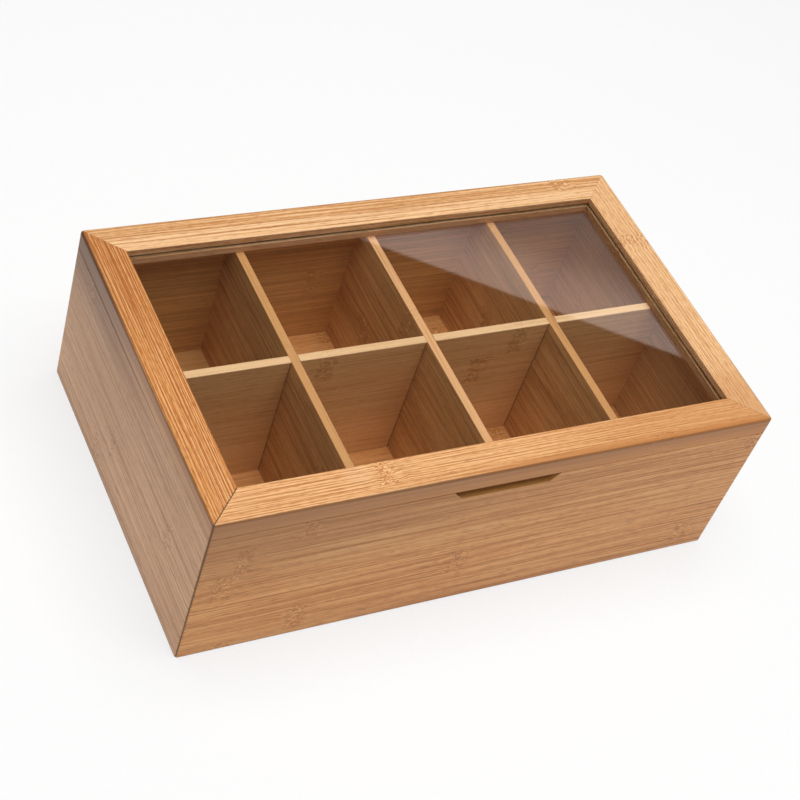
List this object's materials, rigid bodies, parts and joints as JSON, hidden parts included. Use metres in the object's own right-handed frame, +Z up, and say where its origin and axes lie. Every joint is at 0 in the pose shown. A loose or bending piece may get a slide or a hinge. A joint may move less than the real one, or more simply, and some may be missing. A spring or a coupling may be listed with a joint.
{
  "type": "tea box",
  "caption": "Bamboo tea box: a mitred case with a grid of compartments, a finger scoop in the front and a hinged lid framing a clear window.",
  "frame": {"origin": "on the table, under the middle of the box's footprint", "axes": "+X to the right along the length, +Y from the front with the scoop to the hinges, +Z up"},
  "size_m": [0.315, 0.193, 0.104],
  "materials": {
    "bamboo_wall": "satin lacquer",
    "bamboo_lid": "satin lacquer",
    "bamboo_divider": "satin lacquer",
    "bamboo_floor": "satin lacquer",
    "clear_acrylic": "clear, polished",
    "hinge_brass": "brushed",
    "hinge_screw": "bright"
  },
  "bodies": {
    "body": {"front_wall": "bamboo_wall", "back_wall": "bamboo_wall", "left_wall": "bamboo_wall", "right_wall": "bamboo_wall", "floor_panel": "bamboo_floor", "long_divider": "bamboo_divider", "cross_divider_left": "bamboo_divider", "cross_divider_middle": "bamboo_divider", "cross_divider_right": "bamboo_divider", "hinge_left_body_leaf": "hinge_brass", "hinge_right_body_leaf": "hinge_brass", "hinge_left_pin": "hinge_brass", "hinge_right_pin": "hinge_brass", "body_hinge_screws": "hinge_screw"},
    "lid": {"lid_front_rail": "bamboo_lid", "lid_back_rail": "bamboo_lid", "lid_left_rail": "bamboo_lid", "lid_right_rail": "bamboo_lid", "window_pane": "clear_acrylic", "hinge_left_lid_leaf": "hinge_brass", "hinge_right_lid_leaf": "hinge_brass", "lid_hinge_screws": "hinge_screw"}
  },
  "joints": [
    {"name": "lid_hinge", "type": "hinge", "parent": "body", "child": "lid", "pos_m": [0, 0.095, 0.093], "axis": [-1, 0, 0], "range_deg": [0, 98]}
  ]
}
